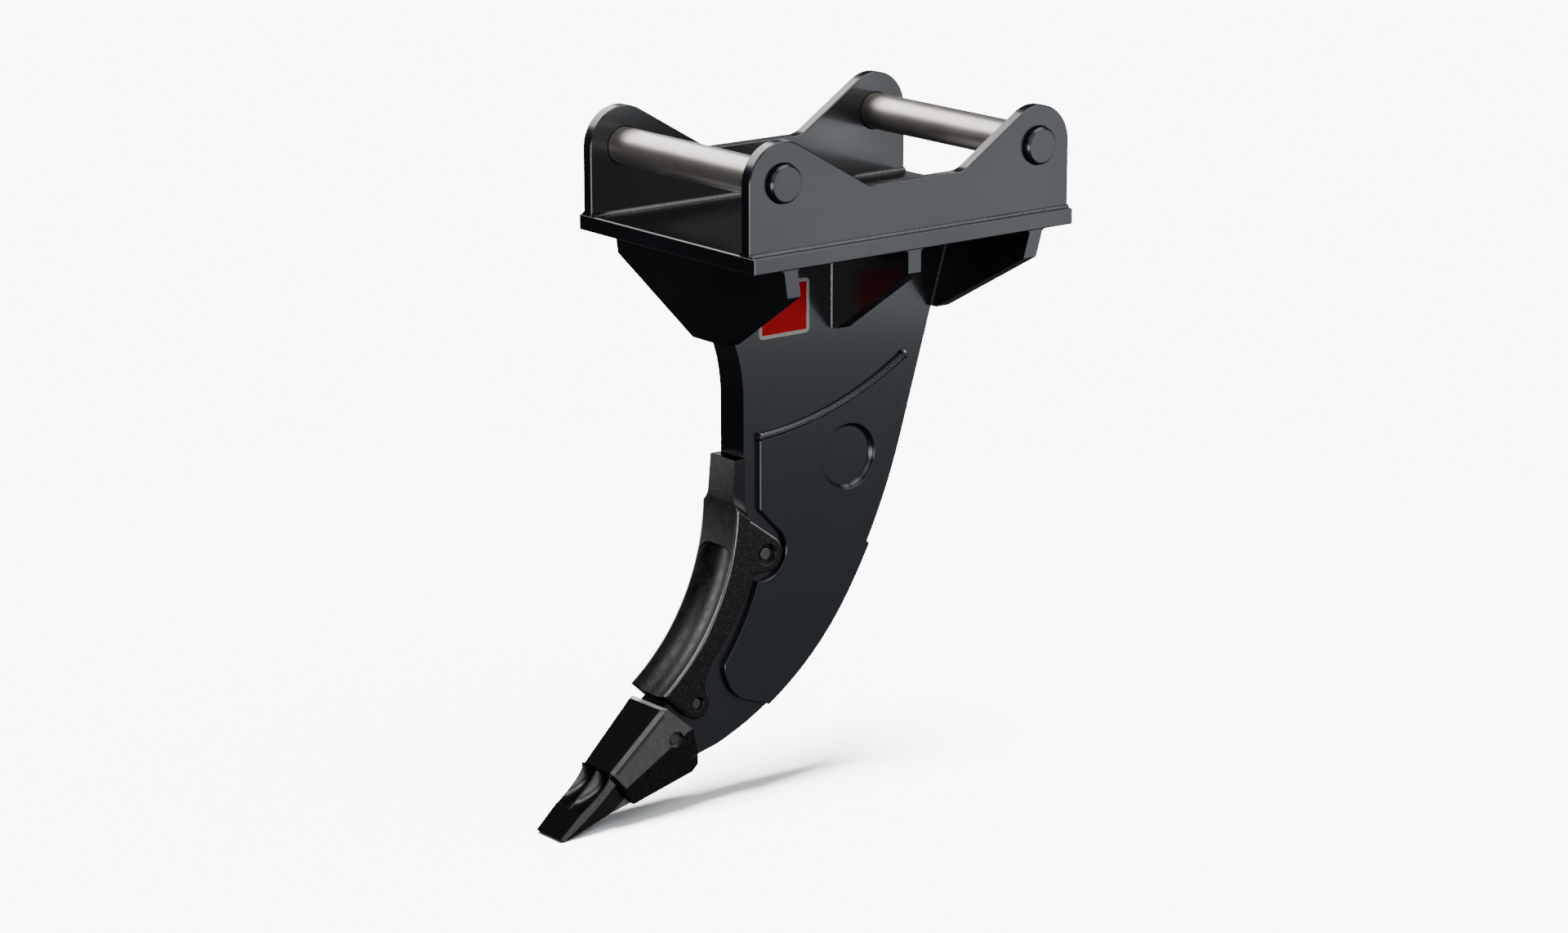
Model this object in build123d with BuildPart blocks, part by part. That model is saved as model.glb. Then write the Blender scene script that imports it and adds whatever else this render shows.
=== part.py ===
from build123d import *
import os
from math import acos, asin, atan2, cos, degrees, hypot, radians, sin, sqrt, tan

# A ripper shank for a quick coupler: a welded head with two bars, a curved shank plate, wear plates,
# a cast guard over the leading edge and a pinned tooth. Millimetres, +Z up, +X from the front bar to
# the rear bar, the tooth points to -X. The origin is the centre of the front bar. "left" is -Y.

# Head: the two bars that the coupler picks up, and the side plates that carry them.
pin_diameter = 70.0
pin_centres = 600.0
pin_proud = 12.5
pin_chamfer = 4.0
pin_fit = 0.25
ear_gap = 450.0
side_plate_thickness = 25.0
ear_radius = 75.0
saddle_drop = 28.0
front_slope = 30.0
rear_slope = 33.0
saddle_radius = 50.0
plate_edge = 2.0
head_drop = 125.0
head_plate_thickness = 30.0
head_plate_margin = 15.0

# Gussets under the head plate. The front and rear ones lean on the edges of the shank.
gusset_thickness = 30.0
gusset_inset = 10.0
gusset_foot_half_width = 50.0
front_gusset_inset = 73.0
front_lean = 8.5
front_gusset_side = 53.0
front_gusset_depth = 180.0
rear_gusset_inset = 96.0
rear_lean = 17.0
rear_gusset_side = 53.0
rear_gusset_depth = 175.0
mid_gusset_side = 45.0
mid_gusset_depth = 183.0

# Shank plate. Its leading edge is struck from the same centre as the spine of the guard.
shank_thickness = 70.0
shank_front_x = 77.0
spine_z = -636.0
spine_radius = 418.0
guard_wall = 29.0
front_bend_z = -450.0
neck_z = -1000.0
rear_straight_z = -571.0
rear_waist = (316.0, -859.0)
rear_heel = (13.0, -1095.5)

# Tooth, drawn in its own frame: s runs from the mouth to the tip, h is the depth under the top face.
mouth_lead = 4.0
mouth_cover = 13.0
tooth_pitch = 42.5
tooth_length = 311.0
tip_thickness = 9.0
tooth_mouth_half_width = 55.0
chisel_start = 158.0
chisel_start_half_width = 46.5
chisel_half_width = 42.5
chisel_shoulder = 8.0
tip_half_width = 38.0
keel_start = (40.0, 166.0)
keel_half_width = 26.0
heel_corner = (22.0, 164.0)
mouth_low = (7.0, 137.0)
mouth_back = (-11.0, 84.0)
panel_start_h = 82.0
panel_end = (163.0, 46.0)
top_band = 7.0
mouth_bevel = 9.0
panel_groove_depth = 2.0
panel_groove_top = 9.0
panel_groove_width = 3.5
panel_groove_margin = 14.0
chisel_drop = 5.0
chisel_drop_s = 186.0
tip_drop = 3.0
chisel_low = (165.0, 25.5)
chisel_low_middle = (221.0, 20.5)
chisel_low_end_h = 4.0
chisel_low_end_land = 11.0
facet_lean = 22.0
scoop_start = 156.0
scoop_land = 62.0
scoop_depth = 24.0
scoop_rim = 9.0
scoop_entry = (0.08, 1.35)
scoop_exit = (0.45, 0.9)
ridge_half_width = 2.5
ridge_top = 7.0

# Nose of the shank, in the frame of the tooth, and the play of the tooth on it.
nose_end_s = 135.0
nose_end_top = 40.0
nose_end_bottom = 76.0
nose_heel = (17.0, 141.0)
nose_end_half_width = 23.0
nose_round = 8.0
nose_play = 0.5

# Pins that hold the guard and the tooth, each with a split ring let into the side of the shank.
lock_pin_play = 0.4
upper_pin_depth = 50.5
upper_pin_z = -743.0
upper_pin_diameter = 24.0
upper_recess_diameter = 40.0
lower_pin_depth = 41.0
lower_pin_z = -1002.0
lower_pin_diameter = 20.0
lower_recess_diameter = 26.0
tooth_pin_at = (27.0, 68.0)
tooth_pin_diameter = 22.0
tooth_recess_diameter = 30.0
recess_depth = 8.0
pin_end_gap = 5.0
tooth_pin_end_gap = 7.0
ring_wall = 9.0
ring_thickness = 12.0
ring_play = 0.3
ring_sink = 4.0
ring_gap = 3.0
pin_end_share = 12

# Guard casting.
guard_half_width = 55.0
guard_play = 0.5
tongue_half_width = 38.0
tongue_top_z = -557.0
tongue_top_thickness = 21.5
tongue_foot_thickness = 27.5
tongue_foot_z = -622.0
flare_radius = 33.0
boss_corner_radius = 10.0
flange_lap = 30.5
flange_middle_lap = 24.0
flange_end_lap = 15.5
flange_middle_z = -861.0
flange_end_z = -924.0
flange_foot_radius = 30.0
upper_boss_radius = 36.0
lower_boss_radius = 30.0
ear_start_depth = 23.0
ear_start_z = -653.0
guard_end_z = -973.0
guard_edge = 5.0
slot_overrun = 10.0
groove_top_z = -722.0
groove_depth = 17.0
groove_half_width = 49.0
groove_end_radius = 30.0

# Wear plates on the flanks of the shank.
wear_thickness = 10.0
wear_front_x = 108.0
wear_front_lap = 52.0
wear_ear_radius = 53.0
wear_ear_top_z = -659.0
wear_top_front_z = -526.0
wear_top_sag = 23.5
wear_tip_z = -412.0
wear_inset = 33.0
wear_turn_z = -741.0
wear_turn_end_z = -768.0
wear_foot_z = -942.0
wear_foot_low = (80.0, -1024.0)
wear_foot_rear = (140.0, -1043.0)
wear_tip_round = 6.0
wear_edge = 1.5
plug_at = (318.0, -589.0)
plug_radius = 62.0

# Weld beads.
weld_leg = 6.0
plug_weld_leg = 6.0
bead_swell = 0.12
square_corner = 90.0
shank_weld_front_gap = 7.0
shank_weld_rear_gap = 8.5

# Room for picking edges by their place, and how far a cut runs past what it cuts.
touch = 0.1
overrun = 1.0

head_top = -head_drop
head_underside = head_top - head_plate_thickness
ear_face = ear_gap / 2 + side_plate_thickness
head_half_width = ear_face + head_plate_margin
pin_half_length = ear_face + pin_proud
gusset_half_width = head_half_width - gusset_inset
front_gusset_x = front_gusset_inset - ear_radius
mid_gusset_x = pin_centres / 2
rear_gusset_x = pin_centres + ear_radius - rear_gusset_inset
flank = shank_thickness / 2
rear_tan = tan(radians(rear_lean))
front_tan = tan(radians(front_lean))
shank_front_radius = spine_radius + guard_wall
spine_centre = (shank_front_x - shank_front_radius, spine_z)
wear_front_radius = shank_front_radius + wear_front_lap


def on_spine(radius, angle):
    """Point at this radius from the spine's centre, the angle counted down from +X."""
    turn = radians(angle)
    return spine_centre[0] + radius * cos(turn), spine_centre[1] - radius * sin(turn)


def on_circle(centre, radius, angle):
    """Point on a circle, the angle counted up from +X."""
    turn = radians(angle)
    return centre[0] + radius * cos(turn), centre[1] + radius * sin(turn)


def touch_angle(point, centre, radius, way=-1):
    """Angle at which the tangent from a point touches a circle: way -1 is its clockwise side."""
    dx, dz = point[0] - centre[0], point[1] - centre[1]
    return degrees(atan2(dz, dx) + way * acos(radius / hypot(dx, dz)))


def spine_angle(radius, z):
    """Angle, counted down from +X, at which a circle about the spine's centre reaches a height."""
    return degrees(asin((spine_centre[1] - z) / radius))


def behind_edge(depth, z):
    """Point at a height, this deep behind the curved leading edge of the shank."""
    radius = shank_front_radius + depth
    return on_spine(radius, spine_angle(radius, z))


upper_pin_at = behind_edge(upper_pin_depth, upper_pin_z)
lower_pin_at = behind_edge(lower_pin_depth, lower_pin_z)
neck = behind_edge(0, neck_z)
along = (-cos(radians(tooth_pitch)), -sin(radians(tooth_pitch)))
inward = (-along[1], along[0])
tooth_mouth = (
    neck[0] + mouth_lead * along[0] - mouth_cover * inward[0],
    neck[1] + mouth_lead * along[1] - mouth_cover * inward[1],
)


def from_tooth(s, h):
    """A place in the tooth's frame as x, z of the whole part."""
    return (
        tooth_mouth[0] + s * along[0] + h * inward[0],
        tooth_mouth[1] + s * along[1] + h * inward[1],
    )


def to_tooth(x, z):
    """x, z of the whole part as a place in the tooth's frame."""
    dx, dz = x - tooth_mouth[0], z - tooth_mouth[1]
    return dx * along[0] + dz * along[1], dx * inward[0] + dz * inward[1]


scoop_end = tooth_length - scoop_land
chisel_low_end = (tooth_length - chisel_low_end_land, chisel_low_end_h)
tooth_origin = (tooth_mouth[0], 0, tooth_mouth[1])
tooth_side = Plane(origin=tooth_origin, x_dir=(along[0], 0, along[1]), z_dir=(0, -1, 0))
tooth_plan = Plane(origin=tooth_origin, x_dir=(along[0], 0, along[1]), z_dir=(inward[0], 0, inward[1]))
nose_top_start = to_tooth(*neck)
neck_angle = spine_angle(shank_front_radius, neck_z)

os.makedirs("parts", exist_ok=True)


def finish(piece, name):
    """Labels a finished piece and writes it."""
    piece.part.label = name
    export_step(piece.part, f"parts/{name}.step")


# Head plate: the flat plate that ties the head together.
with BuildPart() as head_plate:
    with BuildSketch(Plane.XY.offset(head_underside)):
        with Locations((pin_centres / 2, 0)):
            Rectangle(pin_centres + 2 * ear_radius, 2 * head_half_width)
    extrude(amount=head_plate_thickness)
    chamfer(head_plate.edges(), plate_edge)
finish(head_plate, "head_plate")

# Side plates: two ears joined by a saddle, bored for the bars.
front_turn, rear_turn = radians(front_slope), radians(rear_slope)
front_crest = (ear_radius * sin(front_turn), ear_radius * cos(front_turn))
rear_crest = (pin_centres - ear_radius * sin(rear_turn), ear_radius * cos(rear_turn))
saddle_front = (front_crest[0] + (front_crest[1] + saddle_drop) / tan(front_turn), -saddle_drop)
saddle_rear = (rear_crest[0] - (rear_crest[1] + saddle_drop) / tan(rear_turn), -saddle_drop)
with BuildPart() as side_plate_left:
    with BuildSketch(Plane.XZ.offset(ear_gap / 2)) as ears:
        with BuildLine():
            Line((-ear_radius, head_top), (-ear_radius, 0))
            CenterArc((0, 0), ear_radius, 180, -90 - front_slope)
            Polyline(front_crest, saddle_front, saddle_rear, rear_crest)
            CenterArc((pin_centres, 0), ear_radius, 90 + rear_slope, -90 - rear_slope)
            Polyline(
                (pin_centres + ear_radius, 0),
                (pin_centres + ear_radius, head_top),
                (-ear_radius, head_top),
            )
        make_face()
        saddle_corners = ears.vertices().filter_by_position(Axis.Y, -saddle_drop - touch, -saddle_drop + touch)
        fillet(saddle_corners, saddle_radius)
        with Locations((0, 0), (pin_centres, 0)):
            Circle(pin_diameter / 2 + pin_fit, mode=Mode.SUBTRACT)
    extrude(amount=side_plate_thickness)
    rims = side_plate_left.faces().filter_by(Axis.Y).edges()
    chamfer(rims.filter_by(lambda edge: edge.center().Z > head_top + touch), plate_edge)
finish(side_plate_left, "side_plate_left")

with BuildPart() as side_plate_right:
    mirror(side_plate_left.part, about=Plane.XZ)
finish(side_plate_right, "side_plate_right")


def head_bar(x):
    """A coupler bar through both side plates."""
    with BuildPart() as bar:
        with BuildSketch(Plane.XZ.offset(-pin_half_length)):
            with Locations((x, 0)):
                Circle(pin_diameter / 2)
        extrude(amount=2 * pin_half_length)
        chamfer(bar.edges().filter_by(GeomType.CIRCLE), pin_chamfer)
    return bar


finish(head_bar(0), "front_pin")
finish(head_bar(pin_centres), "rear_pin")


def gusset(top_x, lean_tan, across, depth, side_height):
    """A gusset across the head: a leaning strip seen from the side, cut to a funnel seen from the front."""
    foot_z = head_underside - depth
    shift = depth * lean_tan
    with BuildPart() as plate:
        with BuildSketch(Plane.XZ):
            Polygon(
                (top_x, head_underside),
                (top_x + across, head_underside),
                (top_x + across + shift, foot_z),
                (top_x + shift, foot_z),
                align=None,
            )
        extrude(amount=gusset_half_width, both=True)
        with BuildSketch(Plane.YZ.offset(-2 * ear_radius)):
            Polygon(
                (-gusset_half_width, head_underside),
                (-gusset_half_width, head_underside - side_height),
                (-gusset_foot_half_width, foot_z),
                (gusset_foot_half_width, foot_z),
                (gusset_half_width, head_underside - side_height),
                (gusset_half_width, head_underside),
                align=None,
            )
        extrude(amount=pin_centres + 4 * ear_radius, mode=Mode.INTERSECT)
    return plate


front_across = gusset_thickness / cos(radians(front_lean))
rear_across = gusset_thickness / cos(radians(rear_lean))
front_gusset = gusset(front_gusset_x, front_tan, front_across, front_gusset_depth, front_gusset_side)
finish(front_gusset, "front_gusset")
rear_gusset = gusset(rear_gusset_x, -rear_tan, rear_across, rear_gusset_depth, rear_gusset_side)
finish(rear_gusset, "rear_gusset")

# Middle gusset: upright, in two halves that butt against the flanks of the shank.
mid_front = mid_gusset_x - gusset_thickness / 2
mid_rear = mid_gusset_x + gusset_thickness / 2
mid_whole = gusset(mid_front, 0, gusset_thickness, mid_gusset_depth, mid_gusset_side)
with BuildPart() as mid_gusset_left:
    add(mid_whole.part)
    split(bisect_by=Plane.XZ.offset(flank), keep=Keep.TOP)
finish(mid_gusset_left, "mid_gusset_left")
with BuildPart() as mid_gusset_right:
    mirror(mid_gusset_left.part, about=Plane.XZ)
finish(mid_gusset_right, "mid_gusset_right")

# Shank outline, seen from the side.
shank_top_front = (front_gusset_x + front_across, head_underside)
shank_top_rear = (rear_gusset_x, head_underside)
gusset_foot = (shank_top_front[0] + front_gusset_depth * front_tan, head_underside - front_gusset_depth)
rear_straight = (rear_gusset_x - (head_underside - rear_straight_z) * rear_tan, rear_straight_z)
rear_way = (-sin(radians(rear_lean)), -cos(radians(rear_lean)))
with BuildSketch() as shank_outline:
    with BuildLine():
        Polyline(shank_top_front, shank_top_rear, rear_straight)
        rear_upper = TangentArc(rear_straight, rear_waist, tangent=rear_way)
        rear_lower = TangentArc(rear_waist, rear_heel, tangent=rear_upper % 1)
        Polyline(rear_heel, from_tooth(*nose_heel), neck)
        CenterArc(spine_centre, shank_front_radius, -neck_angle, neck_angle)
        Line((shank_front_x, spine_centre[1]), (shank_front_x, front_bend_z))
        TangentArc((shank_front_x, front_bend_z), gusset_foot, tangent=(0, 1))
        Line(gusset_foot, shank_top_front)
    make_face()


def nose_block(play, extra):
    """The nose of the shank, or with play and extra length the socket that takes it."""
    top_rate = (nose_end_top - nose_top_start[1]) / (nose_end_s - nose_top_start[0])
    low_rate = (nose_end_bottom - nose_heel[1]) / (nose_end_s - nose_heel[0])
    side_rate = (flank - nose_end_half_width) / (nose_end_s - nose_heel[0])
    end_s = nose_end_s + play
    wide, narrow = flank + play, nose_end_half_width + play - side_rate * play
    with BuildPart() as block:
        with BuildSketch(tooth_side) as wedge:
            Polygon(
                (nose_top_start[0] - extra, nose_top_start[1] - extra * top_rate - play),
                (end_s, nose_end_top + play * top_rate - play),
                (end_s, nose_end_bottom + play * low_rate + play),
                (nose_heel[0] - extra, nose_heel[1] - extra * low_rate + play),
                align=None,
            )
            fillet(wedge.vertices().filter_by_position(Axis.X, end_s - touch, end_s + touch), nose_round)
        extrude(amount=wide, both=True)
        with BuildSketch(tooth_plan.offset(-tooth_length)):
            Polygon(
                (-tooth_length, -wide),
                (nose_heel[0], -wide),
                (end_s, -narrow),
                (end_s, narrow),
                (nose_heel[0], wide),
                (-tooth_length, wide),
                align=None,
            )
        extrude(amount=2 * tooth_length, mode=Mode.INTERSECT)
    return block.part


lock_pins = (
    (upper_pin_at, upper_pin_diameter),
    (lower_pin_at, lower_pin_diameter),
    (from_tooth(*tooth_pin_at), tooth_pin_diameter),
)
with BuildPart() as shank:
    with BuildSketch(Plane.XZ):
        add(shank_outline.sketch)
    extrude(amount=flank, both=True)
    add(nose_block(0, 0))
    for place, diameter in lock_pins:
        with BuildSketch(Plane.XZ.offset(-shank_thickness)):
            with Locations(place):
                Circle(diameter / 2 + lock_pin_play)
        extrude(amount=2 * shank_thickness, mode=Mode.SUBTRACT)
        with BuildSketch(Plane.XZ.offset(flank - ring_sink - ring_thickness)):
            with Locations(place):
                Circle(diameter / 2 + ring_wall)
        extrude(amount=ring_thickness + ring_sink, mode=Mode.SUBTRACT)
finish(shank, "shank")


def lock_ring(place, diameter):
    """The split ring that grips a lock pin, let into the left flank of the shank."""
    with BuildPart() as ring:
        with BuildSketch(Plane.XZ.offset(flank - ring_sink - ring_thickness)):
            with Locations(place):
                Circle(diameter / 2 + ring_wall - ring_play)
                Circle(diameter / 2, mode=Mode.SUBTRACT)
            with Locations((place[0] + diameter / 2 + ring_wall / 2, place[1])):
                Rectangle(2 * ring_wall, ring_gap, mode=Mode.SUBTRACT)
        extrude(amount=ring_thickness)
    return ring


def lock_pin(place, diameter, half_length):
    """A pin that locks the guard or the tooth to the shank."""
    with BuildPart() as pin:
        with BuildSketch(Plane.XZ.offset(-half_length)):
            with Locations(place):
                Circle(diameter / 2)
        extrude(amount=2 * half_length)
        fillet(pin.edges().filter_by(GeomType.CIRCLE), diameter / pin_end_share)
    return pin


guard_pin_half = guard_half_width - pin_end_gap
tooth_pin_half = tooth_mouth_half_width - tooth_pin_end_gap
for name, (place, diameter), half_length in zip(
    ("guard_pin_upper", "guard_pin_lower", "tooth_pin"),
    lock_pins,
    (guard_pin_half, guard_pin_half, tooth_pin_half),
):
    finish(lock_pin(place, diameter, half_length), name)
    finish(lock_ring(place, diameter), name.replace("pin", "ring"))

# Wear plates, with a plug hole for the rosette weld.
inset_way = (-cos(radians(rear_lean)), sin(radians(rear_lean)))
wear_rear_knee = (rear_straight[0] + wear_inset * inset_way[0], rear_straight[1] + wear_inset * inset_way[1])
wear_tip = (wear_rear_knee[0] + (wear_tip_z - wear_rear_knee[1]) * rear_tan, wear_tip_z)
upper_centre, upper_radius = rear_upper.arc_center, rear_upper.radius


def on_rear(radius, z):
    """Point at a height on a circle about the centre of the shank's upper rear arc."""
    return upper_centre.X + sqrt(radius**2 - (z - upper_centre.Y) ** 2), z


wear_turn = on_rear(upper_radius - wear_inset, wear_turn_z)
wear_turn_end = on_rear(upper_radius, wear_turn_end_z)
ear_touch = touch_angle((wear_front_x, wear_ear_top_z), upper_pin_at, wear_ear_radius)
ear_low_z = upper_pin_at[1] - wear_ear_radius
ear_low_angle = spine_angle(wear_front_radius, ear_low_z)
foot_angle = spine_angle(wear_front_radius, wear_foot_z)
wear_foot_way = (wear_foot_low[0] - wear_foot_rear[0], wear_foot_low[1] - wear_foot_rear[1])
with BuildPart() as wear_plate_left:
    with BuildSketch(Plane.XZ.offset(flank)) as wear_face:
        with BuildLine():
            wear_top = SagittaArc((wear_front_x, wear_top_front_z), wear_tip, -wear_top_sag)
            Line(wear_tip, wear_rear_knee)
            ThreePointArc(
                wear_rear_knee,
                on_rear(upper_radius - wear_inset, (wear_rear_knee[1] + wear_turn_z) / 2),
                wear_turn,
            )
            Polyline(
                wear_turn,
                wear_turn_end,
                (wear_turn_end[0] + wear_inset, wear_turn_end[1]),
                (rear_waist[0] + 2 * wear_inset, rear_heel[1]),
                wear_foot_rear,
                wear_foot_low,
            )
            TangentArc(wear_foot_low, on_spine(wear_front_radius, foot_angle), tangent=wear_foot_way)
            CenterArc(spine_centre, wear_front_radius, -foot_angle, foot_angle - ear_low_angle)
            Line(on_spine(wear_front_radius, ear_low_angle), (upper_pin_at[0], ear_low_z))
            ear_cut = CenterArc(upper_pin_at, wear_ear_radius, -90, 90 + ear_touch)
            Polyline(ear_cut @ 1, (wear_front_x, wear_ear_top_z), (wear_front_x, wear_top_front_z))
        make_face()
        tips = wear_face.vertices().group_by(Axis.Y)[-1]
        fillet(tips, wear_tip_round)
        add(shank_outline.sketch, mode=Mode.INTERSECT)
        with Locations(plug_at):
            Circle(plug_radius, mode=Mode.SUBTRACT)
    extrude(amount=wear_thickness)
    chamfer(wear_plate_left.faces().sort_by(Axis.Y)[0].edges(), wear_edge)
finish(wear_plate_left, "wear_plate_left")
with BuildPart() as wear_plate_right:
    mirror(wear_plate_left.part, about=Plane.XZ)
finish(wear_plate_right, "wear_plate_right")

# Guard: a casting that straddles the leading edge, with a tongue above and an ear at each side.
ear_start = (shank_front_x - ear_start_depth, ear_start_z)
crest_angle = touch_angle(ear_start, upper_pin_at, upper_boss_radius)
ear_crest = on_circle(upper_pin_at, upper_boss_radius, crest_angle)
ear_rate = (ear_crest[1] - ear_start[1]) / (ear_crest[0] - ear_start[0])
guard_back_x = shank_front_x - guard_play
ear_join_z = ear_start[1] + (guard_back_x - ear_start[0]) * ear_rate
boss_low_z = upper_pin_at[1] - upper_boss_radius
flange_radius = shank_front_radius + flange_lap
flange_start = on_spine(flange_radius, spine_angle(flange_radius, boss_low_z))
flange_middle = behind_edge(flange_middle_lap, flange_middle_z)
flange_end = behind_edge(flange_end_lap, flange_end_z)
tongue_foot = (guard_back_x - tongue_foot_thickness, tongue_foot_z)
guard_end_angle = spine_angle(spine_radius, guard_end_z)
guard_end = on_spine(spine_radius, guard_end_angle)
end_touch = touch_angle(guard_end, lower_pin_at, lower_boss_radius, way=1)
boss_meets_end = on_circle(lower_pin_at, lower_boss_radius, end_touch)
slot_edge = shank_front_radius - guard_play
with BuildPart() as guard_blank:
    with BuildSketch(Plane.XZ) as guard_outline:
        with BuildLine():
            CenterArc(spine_centre, spine_radius, -guard_end_angle, guard_end_angle)
            Polyline(
                (spine_centre[0] + spine_radius, spine_centre[1]),
                tongue_foot,
                (guard_back_x - tongue_top_thickness, tongue_top_z),
                (guard_back_x, tongue_top_z),
                (guard_back_x, ear_join_z),
                ear_crest,
            )
            CenterArc(upper_pin_at, upper_boss_radius, crest_angle, -90 - crest_angle)
            Line((upper_pin_at[0], boss_low_z), flange_start)
            ThreePointArc(flange_start, flange_middle, flange_end)
            Polyline(flange_end, lower_pin_at, boss_meets_end, guard_end)
        make_face()
        with Locations(lower_pin_at):
            Circle(lower_boss_radius)
        fillet(guard_outline.vertices().sort_by_distance(flange_start)[0], boss_corner_radius)
        boss_way = hypot(flange_end[0] - lower_pin_at[0], flange_end[1] - lower_pin_at[1])
        boss_meets_flange = [
            pin + (end - pin) * lower_boss_radius / boss_way for pin, end in zip(lower_pin_at, flange_end)
        ]
        for corner in (boss_meets_flange, flange_end):
            fillet(guard_outline.vertices().sort_by_distance(corner)[0], flange_foot_radius)
    extrude(amount=guard_half_width, both=True)
    with BuildSketch(Plane.YZ.offset(ear_start[0])) as flare:
        with BuildLine():
            flare_foot = (guard_half_width, ear_start[1])
            flare_top = (tongue_half_width, tongue_foot_z)
            flare_sky = (0, tongue_top_z + pin_centres)
            Polyline(flare_sky, (tongue_half_width, flare_sky[1]), flare_top)
            RadiusArc(flare_top, flare_foot, -flare_radius)
            Polyline(
                flare_foot,
                (guard_half_width, 2 * guard_end_z),
                (0, 2 * guard_end_z),
                flare_sky,
            )
        make_face()
        mirror(about=Plane.YZ)
    extrude(amount=pin_centres, dir=(1, 0, ear_rate), both=True, mode=Mode.INTERSECT)
    with BuildSketch(Plane.XZ) as slot:
        with BuildLine():
            CenterArc(spine_centre, slot_edge, -neck_angle - slot_overrun, neck_angle + slot_overrun)
            Polyline(
                (spine_centre[0] + slot_edge, spine_centre[1]),
                (spine_centre[0] + slot_edge, tongue_top_z + overrun),
                (pin_centres, tongue_top_z + overrun),
                (pin_centres, 2 * guard_end_z),
                on_spine(slot_edge, neck_angle + slot_overrun),
            )
        make_face()
    extrude(amount=flank + guard_play, both=True, mode=Mode.SUBTRACT)


def groove_tool():
    """The long scoop in the front of the guard: a trough swept about the spine's centre, round at its top."""
    start = spine_angle(spine_radius, groove_top_z + groove_depth)
    turn = radians(start)
    section = Plane(
        origin=(spine_centre[0], 0, spine_centre[1]),
        x_dir=(cos(turn), 0, -sin(turn)),
        z_dir=(sin(turn), 0, cos(turn)),
    )
    lip = spine_radius - groove_depth
    floor_radius = spine_radius + groove_depth
    with BuildPart() as tool:
        with BuildSketch(section):
            with BuildLine():
                ThreePointArc(
                    (spine_radius, -groove_half_width),
                    (floor_radius, 0),
                    (spine_radius, groove_half_width),
                )
                Polyline(
                    (spine_radius, groove_half_width),
                    (lip, groove_half_width),
                    (lip, -groove_half_width),
                    (spine_radius, -groove_half_width),
                )
            make_face()
        revolve(axis=Axis((spine_centre[0], 0, spine_centre[1]), (0, 1, 0)), revolution_arc=guard_end_angle)
        with BuildSketch(Plane.YZ.offset(-pin_centres)) as mouth:
            with Locations((0, groove_top_z)):
                Rectangle(2 * groove_half_width, pin_centres, align=(Align.CENTER, Align.MAX))
            fillet(mouth.vertices().group_by(Axis.Y)[-1], groove_end_radius)
        extrude(amount=2 * pin_centres, mode=Mode.INTERSECT)
    return tool.part


with BuildPart() as guard:
    add(guard_blank.part)
    cheeks = guard.faces().filter_by(Axis.Y).sort_by(Axis.Y)
    rims = cheeks[0].edges() + cheeks[-1].edges()
    fillet(rims.filter_by(lambda edge: edge.center().Z < ear_join_z - touch), guard_edge)
    add(groove_tool(), mode=Mode.SUBTRACT)
    for (place, diameter), recess in zip(lock_pins, (upper_recess_diameter, lower_recess_diameter)):
        with BuildSketch(Plane.XZ.offset(-guard_half_width)):
            with Locations(place):
                Circle(diameter / 2 + lock_pin_play)
        extrude(amount=2 * guard_half_width, mode=Mode.SUBTRACT)
        for side in (-guard_half_width, guard_half_width - recess_depth):
            with BuildSketch(Plane.XZ.offset(side)):
                with Locations(place):
                    Circle(recess / 2)
            extrude(amount=recess_depth, mode=Mode.SUBTRACT)
finish(guard, "guard")


# Tooth: a hollow forged tip, tapered in plan, with a panel on each side above the keel.
def keel_plane(side):
    """Facet from the lower edge of a side panel down to the keel."""
    corners = (
        (mouth_back[0], panel_start_h, tooth_mouth_half_width),
        (*panel_end, chisel_start_half_width),
        (*keel_start, keel_half_width),
    )
    a, b, c = (Vector(*from_tooth(s, h)[:1], side * y, from_tooth(s, h)[1]) for s, h, y in corners)
    return Plane(origin=a, x_dir=b - a, z_dir=(b - a).cross(c - a))


def scoop_section(y, start, depth, rise):
    """Face of one section of a scoop in the chisel, at a distance from the middle plane."""
    reach = scoop_end - start
    with BuildSketch(tooth_side.offset(y)) as section:
        with BuildLine():
            Bezier(
                (start, -rise),
                (start + reach * scoop_entry[0], depth * scoop_entry[1]),
                (start + reach * scoop_exit[0], depth * scoop_exit[1]),
                (scoop_end, chisel_drop),
            )
            Polyline((scoop_end, chisel_drop), (scoop_end, -rise), (start, -rise))
        make_face()
    return section.sketch


def chisel_facet_tool(side):
    """What is cut off one lower side of the chisel: it leans in below a curved line."""
    lean = tan(radians(facet_lean))
    way = Vector(inward[0], -side * lean, inward[1])
    with BuildPart() as tool:
        with BuildSketch(tooth_side.offset(-side * chisel_half_width)):
            with BuildLine():
                ThreePointArc(chisel_low, chisel_low_middle, chisel_low_end)
                Polyline(
                    chisel_low_end,
                    (tooth_length + mouth_bevel, tip_drop),
                    (tooth_length + mouth_bevel, heel_corner[1]),
                    (chisel_low[0], heel_corner[1]),
                    chisel_low,
                )
            make_face()
        extrude(amount=tooth_mouth_half_width, dir=way)
    return tool.part


def edge_tool(side, start, end, *corners):
    """A prism along the tooth's upper side edge; its corners are steps outward from the edge, and depths."""
    drift = (tooth_mouth_half_width - chisel_start_half_width) / chisel_start
    run = Vector(along[0], -side * drift, along[1])
    x, z = from_tooth(start, 0)
    edge = Vector(x, side * (tooth_mouth_half_width - drift * start), z)
    with BuildPart() as tool:
        with BuildSketch(Plane(origin=edge, x_dir=(0, side, 0), z_dir=(along[0], 0, along[1]))):
            Polygon(*((out, side * depth) for out, depth in corners), align=None)
        extrude(amount=(end - start) * run.length, dir=run)
    return tool.part


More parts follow.
